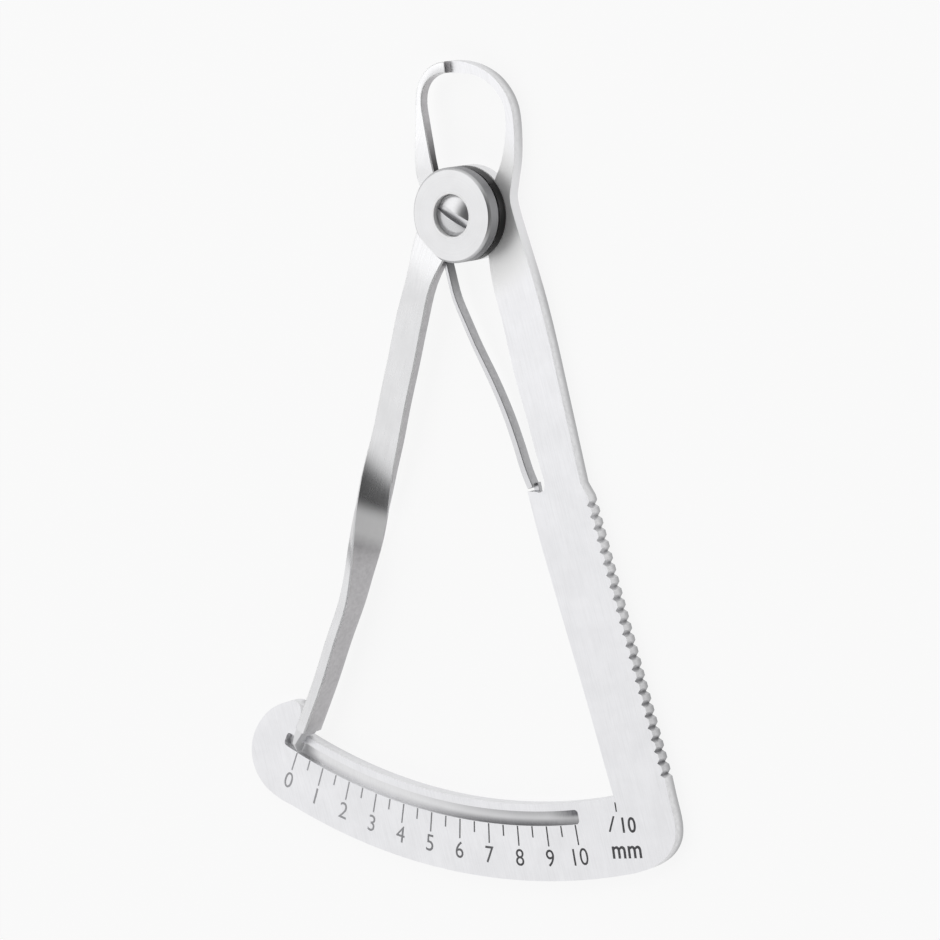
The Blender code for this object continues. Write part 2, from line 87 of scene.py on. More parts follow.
class Value:
    """A shader socket that Python's arithmetic works on."""

    def __init__(self, shader: "Nodes", socket: bpy.types.NodeSocket) -> None:
        """Wraps a socket.

        Args:
            shader: The nodes that the socket's node belongs to.
            socket: The output socket.
        """
        self.shader = shader
        self.socket = socket

    def maths(self, operation: str, *terms: Any) -> "Value":
        """Adds a Math node.

        Args:
            operation: The Math node's operation.
            terms: Its inputs in order, values or numbers.

        Returns:
            The node's result.
        """
        return self.shader.node("ShaderNodeMath", {"operation": operation}, dict(enumerate(terms)))

    def __add__(self, other: Any) -> "Value":
        """Sum."""
        return self.maths("ADD", self, other)

    def __radd__(self, other: Any) -> "Value":
        """Sum, with this value on the right."""
        return self.maths("ADD", other, self)

    def __sub__(self, other: Any) -> "Value":
        """Difference."""
        return self.maths("SUBTRACT", self, other)

    def __rsub__(self, other: Any) -> "Value":
        """Difference, with this value on the right."""
        return self.maths("SUBTRACT", other, self)

    def __mul__(self, other: Any) -> "Value":
        """Product."""
        return self.maths("MULTIPLY", self, other)

    def __rmul__(self, other: Any) -> "Value":
        """Product, with this value on the right."""
        return self.maths("MULTIPLY", other, self)

    def __truediv__(self, other: Any) -> "Value":
        """Quotient."""
        return self.maths("DIVIDE", self, other)

    def __abs__(self) -> "Value":
        """Size without its sign."""
        return self.maths("ABSOLUTE", self)

    def root(self) -> "Value":
        """Square root."""
        return self.maths("SQRT", self)

    def ramp(self, low: float, high: float, start: float = 0.0, end: float = 1.0) -> "Value":
        """A smooth step.

        Args:
            low: The value at which the step starts.
            high: The value at which it ends.
            start: The result up to the step.
            end: The result past the step.

        Returns:
            The stepped value.
        """
        settings = {"interpolation_type": "SMOOTHSTEP"}
        inputs = {"Value": self, "From Min": low, "From Max": high, "To Min": start, "To Max": end}
        return self.shader.node("ShaderNodeMapRange", settings, inputs)


class Nodes:
    """A node tree in which values are worked out."""

    def __init__(self, tree: bpy.types.NodeTree) -> None:
        """Takes up a tree.

        Args:
            tree: The node tree.
        """
        self.tree = tree

    def node(self, kind: str, settings: dict, inputs: dict, output: Any = 0) -> Value:
        """Adds any node.

        Args:
            kind: The node's type.
            settings: Its own settings, set first.
            inputs: Values or links of its sockets, by name or number.
            output: The name or number of the socket that is wanted.

        Returns:
            That output socket.
        """
        made = self.tree.nodes.new(kind)
        for name, setting in settings.items():
            setattr(made, name, setting)
        for name, given in inputs.items():
            self.feed(made.inputs[name], given)
        return Value(self, made.outputs[output])

    def feed(self, socket: bpy.types.NodeSocket, given: Any) -> None:
        """Links a value to a socket, or sets the socket's own value.

        Args:
            socket: The input socket.
            given: A Value to link, or a plain value.
        """
        if isinstance(given, Value):
            self.tree.links.new(given.socket, socket)
        elif isinstance(given, tuple) and len(given) == 3 and socket.type == "RGBA":
            socket.default_value = (*given, 1.0)
        else:
            socket.default_value = given

    def place(self, output: str = "Object") -> Value:
        """The point that is shaded, or with "Normal" the way that its face looks, on the object."""
        return self.node("ShaderNodeTexCoord", {}, {}, output)

    def from_axis(self) -> Value:
        """How far the shaded point is from the pivot's axis."""
        x, y, _ = self.parts(self.place())
        return (x * x + y * y).root()

    def steepness(self) -> Value:
        """0 where a face looks up or down and 1 on walls."""
        _, _, up = self.parts(self.place("Normal"))
        return abs(up).ramp(0.35, 0.9, 1.0, 0.0)

    def parts(self, vector: Value) -> tuple[Value, Value, Value]:
        """The x, y and z of a vector."""
        split = self.node("ShaderNodeSeparateXYZ", {}, {"Vector": vector})
        outputs = split.socket.node.outputs
        return Value(self, outputs[0]), Value(self, outputs[1]), Value(self, outputs[2])

    def joined(self, x: Any, y: Any, z: Any) -> Value:
        """A vector of three values."""
        return self.node("ShaderNodeCombineXYZ", {}, {"X": x, "Y": y, "Z": z})

    def noise(self, at: Value, scale: float, detail: float = 2.0) -> Value:
        """Smooth noise.

        Args:
            at: The place that it is read at.
            scale: How many blotches there are to a metre.
            detail: How many finer octaves are added.

        Returns:
            The noise, about 0.5 on the whole.
        """
        inputs = {"Vector": at, "Scale": scale, "Detail": detail, "Roughness": 0.55}
        return self.node("ShaderNodeTexNoise", {"noise_dimensions": "3D"}, inputs)

    def mixed(self, share: Any, first: Any, second: Any) -> Value:
        """Two colours mixed.

        Args:
            share: How much of the second one there is.
            first: A colour, plain or linked.
            second: A colour, plain or linked.

        Returns:
            The mixed colour.
        """
        made = self.tree.nodes.new("ShaderNodeMix")
        made.data_type = "RGBA"
        self.feed(made.inputs[0], share)
        self.feed(made.inputs[6], first)
        self.feed(made.inputs[7], second)
        return Value(self, made.outputs[2])

    def bump(self, height: Value, distance: float, strength: float) -> Value:
        """A normal that follows small heights."""
        inputs = {"Height": height, "Distance": distance, "Strength": strength}
        return self.node("ShaderNodeBump", {}, inputs)


class Shader(Nodes):
    """A material's nodes, with its Principled shader."""

    def __init__(self, name: str) -> None:
        """Makes the material.

        Args:
            name: The material's name.
        """
        self.material = bpy.data.materials.new(name)
        self.material.use_nodes = True
        super().__init__(self.material.node_tree)
        self.surface = self.tree.nodes["Principled BSDF"]
        self.output = self.tree.nodes["Material Output"]


@dataclass(frozen=True)
class Steel:
    """A steel finish: its walls are painted darker than its flat faces, as painted shade, and its
    edges can carry a painted highlight.

    Attributes:
        name: The material's name.
        face: Colour of the faces that look up or down.
        wall: Colour of the walls between them, darker than the faces as painted shade.
        roughness: Roughness of the faces.
        wall_roughness: Roughness of the walls.
        grain: How the faces are finished.
        grain_size: Width of one line or grain, in metres.
        grain_depth: Depth of the grain, in metres.
        heading: Which way brushed lines run, in degrees from +X.
        foot: Height at which a wall is darkest.
        head: Height from which it has its full colour.
        foot_shade: Share of its colour that is left at its foot, as painted shade.
        edge_roughness: Roughness of the edges between faces and walls.
        edge_light: How far the edges' colour is painted bright, as a painted highlight.
        joint_shade: Share of its colour that is left on the walls at the pivot, as painted shade.
        joint_reach: Distance above the axis from which it has its full colour.
        low_reach: The same below the axis.
        mottle: How far the colour wanders over the faces.
    """

    name: str
    face: Colour = (0.80, 0.81, 0.83)
    wall: Colour = (0.62, 0.62, 0.63)
    roughness: float = 0.32
    wall_roughness: float = 0.42
    grain: Grain = Grain.SATIN
    grain_size: float = 0.00012
    grain_depth: float = 0.000002
    heading: float = 0.0
    foot: float = 0.0
    head: float = 0.0015
    foot_shade: float = 1.0
    edge_roughness: float = 0.6
    edge_light: float = 0.0
    joint_shade: float = 1.0
    joint_reach: float = 0.016
    low_reach: float = 0.016
    mottle: float = 0.04

    def lines(self, shader: Shader) -> Value:
        """The grain's heights.

        Args:
            shader: The material's nodes.

        Returns:
            Noise that is drawn out along the way in which the face was worked.
        """
        at = shader.place()
        if self.grain is Grain.SATIN:
            return shader.noise(at, 1 / self.grain_size, 3.0)
        x, y, z = shader.parts(at)
        if self.grain is Grain.TURNED:
            rings = shader.joined(shader.from_axis(), z, 0.0)
            return shader.noise(rings, 1 / self.grain_size, 3.0)
        turn = math.radians(self.heading)
        along = x * math.cos(turn) + y * math.sin(turn)
        across = y * math.cos(turn) - x * math.sin(turn)
        drawn_out = shader.joined(along * 0.04, across, z * 0.3)
        return shader.noise(drawn_out, 1 / self.grain_size, 3.0)

    def walls(self, shader: Shader) -> Value:
        """The walls' colour, with painted shade at their foot and about the pivot, and painted
        light on walls that face along y.

        Args:
            shader: The material's nodes.

        Returns:
            The colour.
        """
        _, y, z = shader.parts(shader.place())
        sideways, _, _ = shader.parts(shader.place("Normal"))
        radius = shader.from_axis()
        streaks = shader.noise(shader.place(), 1900.0, 2.0)
        colour = shader.mixed(streaks.ramp(0.2, 0.8), shaded(self.wall, 0.85), self.wall)
        # Painted light: walls that face along y are mixed towards the face colour, most at their
        # foot
        lit = abs(sideways).ramp(0.2, 0.7, 1.0, 0.0) * z.ramp(self.foot, self.head, 1.0, 0.35)
        colour = shader.mixed(lit, colour, self.face)
        # Painted shade at the walls' foot, strongest on walls that face along x
        low = z.ramp(self.foot, self.head, 1.0, 0.0) * abs(sideways).ramp(0.2, 0.8, 0.2, 1.0)
        colour = shader.mixed(low, colour, shaded(self.wall, self.foot_shade))
        # Painted shade on the walls about the pivot, with its own reach above and below the axis
        near = radius.ramp(PAINTED_SHADE_RADIUS, self.low_reach, 1.0, 0.0)
        above = radius.ramp(PAINTED_SHADE_RADIUS, self.joint_reach, 1.0, 0.0)
        near = near + (above - near) * y.ramp(-AXIS_STRIP, AXIS_STRIP)
        return shader.mixed(near, colour, shaded(self.wall, self.joint_shade))

    def detail(self, shader: Shader, colour: Value) -> Value:
        """The finished colour, for a finish that adds something of its own.

        Args:
            shader: The material's nodes.
            colour: The colour of faces and walls.

        Returns:
            The colour that is used.
        """
        return colour

    def dulled(self, shader: Shader, rough: Value) -> Value:
        """The finished roughness, for a finish that is duller somewhere.

        Args:
            shader: The material's nodes.
            rough: The roughness of faces and walls.

        Returns:
            The roughness that is used.
        """
        return rough

    def metal(self, shader: Shader) -> Any:
        """How metallic it looks: wholly, unless a finish says otherwise."""
        return 1.0

    def make(self) -> bpy.types.Material:
        """Builds the material.

        Returns:
            The finished material.
        """
        shader = Shader(self.name)
        _, _, up = shader.parts(shader.place("Normal"))
        wall = shader.steepness()
        cloud = shader.noise(shader.place(), 260.0, 3.0) - 0.5
        grain = self.lines(shader)
        dull = shaded(self.face, 1 - self.mottle * 2.2)
        faces = shader.mixed((cloud * 1.6 + 0.5).ramp(0.0, 1.0), dull, self.face)
        faces = shader.mixed(grain.ramp(0.35, 0.75, 0.0, 0.10), faces, (0.45, 0.45, 0.46))
        walls = self.walls(shader)
        edge = abs(up).ramp(0.45, 0.62) * abs(up).ramp(0.74, 0.88, 1.0, 0.0)
        # Walls get their colour with its painted shade, faces keep their own colour
        colour = shader.mixed(wall, faces, walls)
        # Painted highlight: the edges between faces and walls are mixed towards white
        colour = shader.mixed(edge * self.edge_light, colour, WHITE)
        shader.feed(shader.surface.inputs["Base Color"], self.detail(shader, colour))
        rough = self.roughness + cloud * 0.10 + (grain - 0.5) * 0.08
        rough = rough + wall * (self.wall_roughness - self.roughness)
        rough = rough + edge * (self.edge_roughness - self.wall_roughness)
        shader.feed(shader.surface.inputs["Roughness"], self.dulled(shader, rough))
        shader.feed(shader.surface.inputs["Metallic"], self.metal(shader))
        shader.feed(shader.surface.inputs["Normal"], shader.bump(grain, self.grain_depth, 1.0))
        return shader.material


@dataclass(frozen=True)
class MilledSteel(Steel):
    """The plate's steel, with painted shade in the pointer's track and in the grip's grooves, and a
    ring of painted light about the pivot.

    Attributes:
        inner: Radius of the track's inner wall.
        outer: Radius of its outer wall.
        fade: Distance over which the track's look starts.
        track_right: How far to the right the track goes.
        floor_height: Height of the track's floor.
        floor_light: The track's colour at its left.
        floor_middle: Its colour further along.
        floor_dark: Colour of the painted shade in the track's right corner and along its walls,
            also used in the grip's grooves.
        light_to: How far to the right the light colour goes.
        middle_from: Where the middle colour is complete.
        dark_from: Where the dark colour starts.
        dark_to: Where it is complete.
        chatter_size: Distance between two of the cutter's marks.
        left_from: Where the track's rough left end stops.
        left_to: Where it is roughest.
        grip_start: Upper end of the grip's edge.
        grip_end: Lower end of the grip's edge.
        grip_depth: Depth of its grooves.
        grip_crests: How much painted shade the crests between the grooves get at the lower end.
        grip_roots: How much painted shade the bottoms of the grooves get there.
        face_height: Height of the plate's face.
        matt_to: Distance from the axis up to which the face carries the full painted light.
        bright_from: Distance from which it is as bright as elsewhere.
        matt_loss: How far the ring of painted light is from looking metallic.
    """

    inner: float = 0.0764
    outer: float = 0.07826
    fade: float = 0.00006
    track_right: float = 0.0102
    floor_height: float = 0.001
    floor_light: Colour = (0.84, 0.84, 0.85)
    floor_middle: Colour = (0.64, 0.64, 0.65)
    floor_dark: Colour = (0.11, 0.11, 0.12)
    light_to: float = -0.022
    middle_from: float = 0.003
    dark_from: float = 0.004
    dark_to: float = 0.0094
    chatter_size: float = 1 / 5200
    left_from: float = -0.031
    left_to: float = -0.034
    grip_start: tuple[float, float] = (0.01490, -0.03590)
    grip_end: tuple[float, float] = (0.02320, -0.07120)
    grip_depth: float = 0.00048
    grip_crests: float = 0.24
    grip_roots: float = 0.5
    face_height: float = 0.0018
    matt_to: float = 0.0085
    bright_from: float = 0.0125
    matt_loss: float = 0.6

    def detail(self, shader: Shader, colour: Value) -> Value:
        """Adds the track's painted shade, the ring of painted light and the grip's painted shade.

        Args:
            shader: The material's nodes.
            colour: The colour of faces and walls.

        Returns:
            The colour with the track.
        """
        x, y, z = shader.parts(shader.place())
        radius = shader.from_axis()
        within = radius.ramp(self.inner - self.fade, self.inner)
        within = within * x.ramp(self.track_right, self.track_right + 0.0002, 1.0, 0.0)
        within = within * radius.ramp(self.outer, self.outer + self.fade, 1.0, 0.0)
        face = self.face_height - self.fade
        within = within * z.ramp(face - self.fade, face, 1.0, 0.0)
        within = within * z.ramp(self.floor_height - 0.0004, self.floor_height - 0.0002)
        chatter = shader.noise(shader.joined(x, y * 0.25, z), 1 / self.chatter_size, 2.0)
        # Painted shade: the track's floor darkens from its left end to the right
        floor = shader.mixed(x.ramp(self.light_to, self.middle_from), self.floor_light,
                             self.floor_middle)
        # Painted shade in the corner where the track ends, strongest near the inner wall
        deep = radius.ramp(self.inner + 0.0006, self.inner + 0.0012, 1.0, 0.3)
        floor = shader.mixed(x.ramp(self.dark_from, self.dark_to) * deep, floor, self.floor_dark)
        # Painted shade along the inner and outer walls, faint at the track's left
        under = radius.ramp(self.inner + 0.0003, self.inner + 0.0010, 0.25, 0.0)
        outer_side = radius.ramp(self.outer - 0.0009, self.outer - 0.0002, 0.0, 0.65)
        under = under + outer_side * x.ramp(self.dark_from, 0.009, 1.0, 0.5)
        under = under * x.ramp(self.light_to, 0.002, 0.15, 1.0)
        floor = shader.mixed(under, floor, self.floor_dark)
        floor = shader.mixed(chatter.ramp(0.3, 0.8, 0.0, 0.2), floor, self.floor_middle)
        # Painted light: the plate's face about the pivot is mixed towards white
        colour = shader.mixed(self.blasted(shader), colour, WHITE)
        # Painted shade in the grip's grooves, deepest towards the lower end
        colour = shader.mixed(self.roots(shader), colour, self.floor_dark)
        return shader.mixed(within, colour, floor)

    def blasted(self, shader: Shader) -> Value:
        """1 on the ring of painted light on the plate's face about the pivot, and 0 far from it."""
        _, _, z = shader.parts(shader.place())
        ring = shader.from_axis().ramp(self.matt_to, self.bright_from, 1.0, 0.0)
        return ring * z.ramp(self.face_height - 0.0002, self.face_height)

    def roots(self, shader: Shader) -> Value:
        """How much painted shade the grip gets, most at the bottom of its grooves and towards its
        lower end.
        """
        x, y, _ = shader.parts(shader.place())
        (left, high), (right, low) = self.grip_start, self.grip_end
        length = math.hypot(right - left, low - high)
        depth = ((x - left) * (low - high) - (y - high) * (right - left)) / length
        grip_shade = depth.ramp(self.grip_depth * 0.25, self.grip_depth * 0.9,
                          self.grip_crests, self.grip_roots)
        grip_shade = grip_shade * depth.ramp(self.grip_depth * 1.2, self.grip_depth * 1.6, 1.0, 0.0)
        grip_shade = grip_shade * y.ramp(low, high, 1.0, 0.25)
        grip_shade = grip_shade * y.ramp(low, low + 0.0004) * y.ramp(high - 0.0004, high, 1.0, 0.0)
        return grip_shade * shader.steepness()

    def metal(self, shader: Shader) -> Any:
        """How metallic it looks, less so on the ring of painted light."""
        return 1.0 - self.blasted(shader) * self.matt_loss

    def dulled(self, shader: Shader, rough: Value) -> Value:
        """Roughens the track's left end.

        Args:
            shader: The material's nodes.
            rough: The roughness of faces and walls.

        Returns:
            The roughness that is used.
        """
        x, _, z = shader.parts(shader.place())
        radius = shader.from_axis()
        within = radius.ramp(self.inner - 0.0001, self.inner)
        within = within * radius.ramp(self.outer, self.outer + 0.0001, 1.0, 0.0)
        within = within * x.ramp(self.left_to, self.left_from, 1.0, 0.0)
        within = within * z.ramp(self.face_height - 0.00015, self.face_height, 1.0, 0.0)
        return rough + within * 0.35


@dataclass(frozen=True)
class LeverSteel(Steel):
    """The lever's steel, with painted highlights on its tine and on the bar's narrow edge faces.

    Attributes:
        ground_from: Distance from the pivot at which the tine's painted highlight starts.
        ground_to: Distance at which it is complete.
        ground: Colour of the painted highlights.
        rubbed: Name of the mesh's own mark on the bar's narrow edge faces, which carry a painted
            highlight.
    """

    ground_from: float = 0.0725
    ground_to: float = 0.0755
    ground: Colour = (0.92, 0.92, 0.93)
    rubbed: str = "rubbed"

    def detail(self, shader: Shader, colour: Value) -> Value:
        """Adds the painted highlights on the bar's narrow edge faces and the tine.

        Args:
            shader: The material's nodes.
            colour: The colour of faces and walls.

        Returns:
            The colour with the tine.
        """
        radius = shader.from_axis()
        # Painted highlight on the bar's narrow edge faces
        colour = shader.mixed(self.edges(shader), colour, self.ground)
        # Painted highlight: the tine is painted light
        return shader.mixed(radius.ramp(self.ground_from, self.ground_to), colour, self.ground)

    def dulled(self, shader: Shader, rough: Value) -> Value:
        """Roughens the tine and the bar's narrow edge faces.

        Args:
            shader: The material's nodes.
            rough: The roughness of faces and walls.

        Returns:
            The roughness that is used.
        """
        radius = shader.from_axis()
        rough = rough + radius.ramp(self.ground_from, self.ground_to, 0.0, 0.4)
        return rough + self.edges(shader) * 0.5

    def edges(self, shader: Shader) -> Value:
        """1 on the bar's narrow edge faces and 0 elsewhere."""
        return shader.node("ShaderNodeAttribute", {"attribute_name": self.rubbed}, {}, "Fac")

    def metal(self, shader: Shader) -> Any:
        """How metallic it looks, less so on the bar's narrow edge faces, to brighten their painted
        highlight.
        """
        return 1.0 - self.edges(shader) * 0.75


@dataclass(frozen=True)
class BoredSteel(Steel):
    """The disc's steel, with its counterbore's wall painted bright as painted light.

    Attributes:
        bore: Radius up to which the counterbore's wall is painted bright.
        bright: The painted light's colour.
    """

    bore: float = 0.0029
    bright: Colour = (0.95, 0.95, 0.95)

    def detail(self, shader: Shader, colour: Value) -> Value:
        """Adds the painted light on the counterbore's wall.

        Args:
            shader: The material's nodes.
            colour: The colour of faces and walls.

        Returns:
            The colour with the bore.
        """
        radius = shader.from_axis()
        # Painted light on the counterbore's wall
        bored = radius.ramp(self.bore, self.bore + 0.0001, 1.0, 0.0)
        return shader.mixed(bored, colour, self.bright)

    def dulled(self, shader: Shader, rough: Value) -> Value:
        """Roughens the counterbore.

        Args:
            shader: The material's nodes.
            rough: The roughness of faces and walls.

        Returns:
            The roughness that is used.
        """
        radius = shader.from_axis()
        return rough + radius.ramp(self.bore, self.bore + 0.0001, 0.3, 0.0)


@dataclass(frozen=True)
class BlackFill:
    """Black enamel in engraved marks, rubbed thin on the side where the light burns it out.

    Attributes:
        name: The material's name.
        dark: Colour of whole enamel.
        pale: Colour of enamel that painted light and wear make pale.
        worn_from: Where the painted light starts to pale the enamel, leftwards.
        worn_to: Where it is complete.
    """

    name: str = "mark_black"
    dark: Colour = (0.05, 0.05, 0.055)
    pale: Colour = (0.50, 0.50, 0.52)
    worn_from: float = 0.004
    worn_to: float = -0.030

    def make(self) -> bpy.types.Material:
        """Builds the material.

        Returns:
            The finished material.
        """
        shader = Shader(self.name)
        x, _, _ = shader.parts(shader.place())
        specks = shader.noise(shader.place(), 6000.0, 2.0)
        # Painted light pales the enamel towards the left; the noise specks are wear
        light_and_wear = x.ramp(self.worn_to, self.worn_from, 1.0, 0.0) * 0.85
        light_and_wear = light_and_wear + specks.ramp(0.45, 0.8, 0.0, 0.25)
        shader.feed(shader.surface.inputs["Base Color"], shader.mixed(light_and_wear, self.dark, self.pale))
        shader.feed(shader.surface.inputs["Roughness"], 0.55 + (specks - 0.5) * 0.2)
        shader.surface.inputs["Metallic"].default_value = 0.0
        return shader.material


@dataclass(frozen=True)
class PaleFloor:
    """A plain white table.

    Attributes:
        name: The material's name.
        colour: Its colour in the light.
        whitening: How far it is white to the eye and in reflections.
    """

    name: str = "white_table"
    colour: Colour = (0.93, 0.93, 0.93)
    whitening: float = 0.88

    def make(self) -> bpy.types.Material:
        """Builds the material.

        Returns:
            The finished material.
        """
        shader = Shader(self.name)
        specks = shader.noise(shader.place(), 40.0, 2.0)
        tint = tuple(channel * 0.985 for channel in self.colour)
        shader.feed(shader.surface.inputs["Base Color"], shader.mixed(specks, tint, self.colour))
        shader.surface.inputs["Roughness"].default_value = 0.8
        shader.surface.inputs["Specular IOR Level"].default_value = 0.0
        path = shader.node("ShaderNodeLightPath", {}, {}, "Is Camera Ray")
        outputs = path.socket.node.outputs
        seen = path.maths("MAXIMUM", path, Value(shader, outputs["Is Glossy Ray"]))
        seen = seen.maths("MAXIMUM", seen, Value(shader, outputs["Is Transmission Ray"]))
        white = shader.node("ShaderNodeEmission", {}, {"Color": WHITE, "Strength": 1.0})
        mix = shader.tree.nodes.new("ShaderNodeMixShader")
        shader.feed(mix.inputs[0], seen * self.whitening)
        shader.tree.links.new(shader.surface.outputs[0], mix.inputs[1])
        shader.tree.links.new(white.socket, mix.inputs[2])
        shader.tree.links.new(mix.outputs[0], shader.output.inputs["Surface"])
        return shader.material


class Bench:
    """Mesh work on one piece at a time, as by hand."""

    def __init__(self, nodes: dict[str, bpy.types.Object]) -> None:
        """Remembers the CAD nodes.

        Args:
            nodes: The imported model's objects by name.
        """
        self.nodes = nodes

    def hold(self, *pieces: bpy.types.Object) -> None:
        """Selects these pieces and nothing else, and makes the first one active."""
        bpy.ops.object.select_all(action="DESELECT")
        for piece in pieces:
            piece.select_set(True)
        if pieces:
            bpy.context.view_layer.objects.active = pieces[0]

    def copy_of(self, node: str, name: str, flat: float = 0.6) -> bpy.types.Object:
        """A merged copy of a CAD node.

        Args:
            node: The node's name.
            name: The new piece's name.
            flat: The largest angle between two facets of one flat face, in degrees.

        Returns:
            The new piece, with its flat faces whole again.
        """
        original = self.nodes[node]
        data = original.data.copy()
        piece = bpy.data.objects.new(name, data)
        data.name = name
        data.materials.clear()
        bpy.context.scene.collection.objects.link(piece)
        self.hold(piece)
        bpy.ops.object.mode_set(mode="EDIT")
        bpy.ops.mesh.select_all(action="SELECT")
        bpy.ops.mesh.customdata_custom_splitnormals_clear()
        bpy.ops.mesh.remove_doubles(threshold=0.000002)
        bpy.ops.mesh.mark_sharp(clear=True)
        bpy.ops.mesh.dissolve_limited(angle_limit=math.radians(flat))
        bpy.ops.object.mode_set(mode="OBJECT")
        return piece

    def soften(self, piece: bpy.types.Object, width: float, segments: int = 2,
               angle: float = 32.0) -> None:
        """Rounds a piece's edges and smooths its shading.

        Args:
            piece: The piece.
            width: The bevel's width.
            segments: The number of facets across it.
            angle: The smallest angle between two faces whose edge is rounded, in degrees.
        """
        self.hold(piece)
        step = piece.modifiers.new("soften", "BEVEL")
        step.width = width
        step.segments = segments
        step.limit_method = "ANGLE"
        step.angle_limit = math.radians(angle)
        step.use_clamp_overlap = True
        bpy.ops.object.modifier_apply(modifier=step.name)
        bpy.ops.object.shade_smooth_by_angle(angle=math.radians(38))
        level = piece.modifiers.new("level", "WEIGHTED_NORMAL")
        level.weight = 80
        level.keep_sharp = True
        bpy.ops.object.modifier_apply(modifier=level.name)

    def pick(self, piece: bpy.types.Object, rule: Rule) -> None:
        """In edit mode, selects the faces that a rule accepts.

        Args:
            piece: The piece that is edited.
            rule: Takes a face's middle and normal.
        """
        bpy.ops.mesh.select_mode(type="FACE")
        bpy.ops.mesh.select_all(action="DESELECT")
        mesh = bmesh.from_edit_mesh(piece.data)
        for face in mesh.faces:
            if rule(face.calc_center_median(), face.normal):
                face.select_set(True)
        mesh.select_flush_mode()
        bmesh.update_edit_mesh(piece.data)

    def join(self, pieces: list[bpy.types.Object], name: str) -> bpy.types.Object:
        """Makes one piece of several, with its place in its mesh.

        Args:
            pieces: The pieces to join.
            name: The name of the result.

        Returns:
            The joined piece.
        """
        self.hold(*pieces)
        bpy.ops.object.join()
        whole = bpy.context.view_layer.objects.active
        whole.name = name
        whole.data.name = name
        return whole

    def settle(self, piece: bpy.types.Object, place: Matrix) -> None:
        """Puts a piece's place into its mesh.

        Args:
            piece: The piece.
            place: Where it goes.
        """
        piece.data.transform(place @ piece.matrix_world)
        piece.matrix_world = Matrix.Identity(4)


@dataclass
class ScaleMarks:
    """Ticks, numerals and the unit in the scale's face.

    Attributes:
        radius: Inner ends of the ticks, from the pivot.
        zero: Angle of the first tick from straight down.
        step: Angle between two numbered ticks.
        count: The highest number.
        long: Length of a numbered tick.
        short: Length of a tick halfway.
        width: Width of a tick.
        proud: How far the fill stands over the face.
        sunk: How far it goes in.
        numeral_radius: Middle of the numerals, from the pivot.
        numeral_height: Height of the numerals.
        unit_boldness: How far the unit's strokes are widened.
        face: Height of the face that they are in.
        fill: What they are filled with.
    """

    radius: float = 0.07826
    zero: float = -26.33
    step: float = 3.30
    count: int = 10
    long: float = 0.0027
    short: float = 0.00155
    width: float = 0.00032
    proud: float = 0.000006
    sunk: float = 0.00006
    numeral_radius: float = 0.08242
    numeral_height: float = 0.0022
    unit_boldness: float = 0.016
    face: float = 0.0018
    fill: BlackFill = field(default_factory=BlackFill)

    def tick(self, bench: Bench, turn: float, length: float) -> bpy.types.Object:
        """One engraved line.

        Args:
            bench: The mesh tools.
            turn: Its angle from straight down, in degrees.
            length: Its length.

        Returns:
            The line.
        """
        bench.hold()
        bpy.ops.mesh.primitive_cube_add(size=1.0)
        line = bpy.context.view_layer.objects.active
        height = self.proud + self.sunk
        bpy.ops.object.mode_set(mode="EDIT")
        bpy.ops.mesh.select_all(action="SELECT")
        bpy.ops.transform.resize(value=(self.width, length, height))
        bpy.ops.transform.translate(value=(0, -self.radius - length / 2,
                                           self.face + self.proud - height / 2))
        bench.pick(line, lambda middle, normal: normal.z > 0.9)
        bpy.ops.mesh.bevel(offset=self.width * 0.2, segments=2, affect="EDGES", profile=0.5)
        bpy.ops.object.mode_set(mode="OBJECT")
        bench.settle(line, Matrix.Rotation(math.radians(turn), 4, "Z"))
        return line

    def lettering(self, bench: Bench, words: str, height: float, middle: tuple[float, float],
                  turn: float, boldness: float = 0.0) -> bpy.types.Object:
        """Engraved figures.

        Args:
            bench: The mesh tools.
            words: What they say.
            height: Height of the figures.
            middle: Their middle on the face.
            turn: How far they lean to the left, in degrees.
            boldness: How far their strokes are widened.

        Returns:
            The figures as a mesh.
        """
        bench.hold()
        bpy.ops.object.text_add()
        text = bpy.context.view_layer.objects.active
        text.data.body = words
        text.data.extrude = 0.02
        text.data.space_character = 1.05
        text.data.offset = boldness
        bpy.ops.object.convert(target="MESH")
        text = bpy.context.view_layer.objects.active
        corners = [Vector(corner) for corner in text.bound_box]
        low = Vector([min(corner[i] for corner in corners) for i in range(3)])
        high = Vector([max(corner[i] for corner in corners) for i in range(3)])
        size = height / (high.y - low.y)
        centre = (low + high) / 2
        depth = (self.proud + self.sunk) / (high.z - low.z)
        to_size = Matrix.Diagonal((size * 0.92, size, depth, 1)) @ Matrix.Translation(-centre)
        level = self.face + (self.proud - self.sunk) / 2
        place = Matrix.Translation((*middle, level)) @ Matrix.Rotation(math.radians(turn), 4, "Z")
        bench.settle(text, place @ to_size)
        return text

    def build(self, bench: Bench) -> bpy.types.Object:
        """Models the marks and makes them ride on the scale.

        Args:
            bench: The mesh tools.

        Returns:
            The marks as one piece.
        """
        made = []
        for half in range(2 * self.count + 1):
            turn = self.zero + self.step * half / 2
            made.append(self.tick(bench, turn, self.short if half % 2 else self.long))
        for number in range(self.count + 1):
            turn = math.radians(self.zero + self.step * number)
            middle = (self.numeral_radius * math.sin(turn), -self.numeral_radius * math.cos(turn))
            made.append(self.lettering(bench, str(number), self.numeral_height, middle,
                                       math.degrees(turn)))
        unit = (("1", 0.0012, (0.0155, -0.0752), 6.0), ("/", 0.0021, (0.0147, -0.0774), -6.0),
                ("10", 0.0020, (0.0173, -0.0774), 4.0), ("mm", 0.0016, (0.0167, -0.0809), 4.0))
        for words, height, middle, lean in unit:
            made.append(self.lettering(bench, words, height, middle, lean, self.unit_boldness))
        marks = bench.join(made, "scale_marks")
        marks.data.materials.clear()
        marks.data.materials.append(self.fill.make())
        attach(marks, Body.SCALE.value)
        return marks


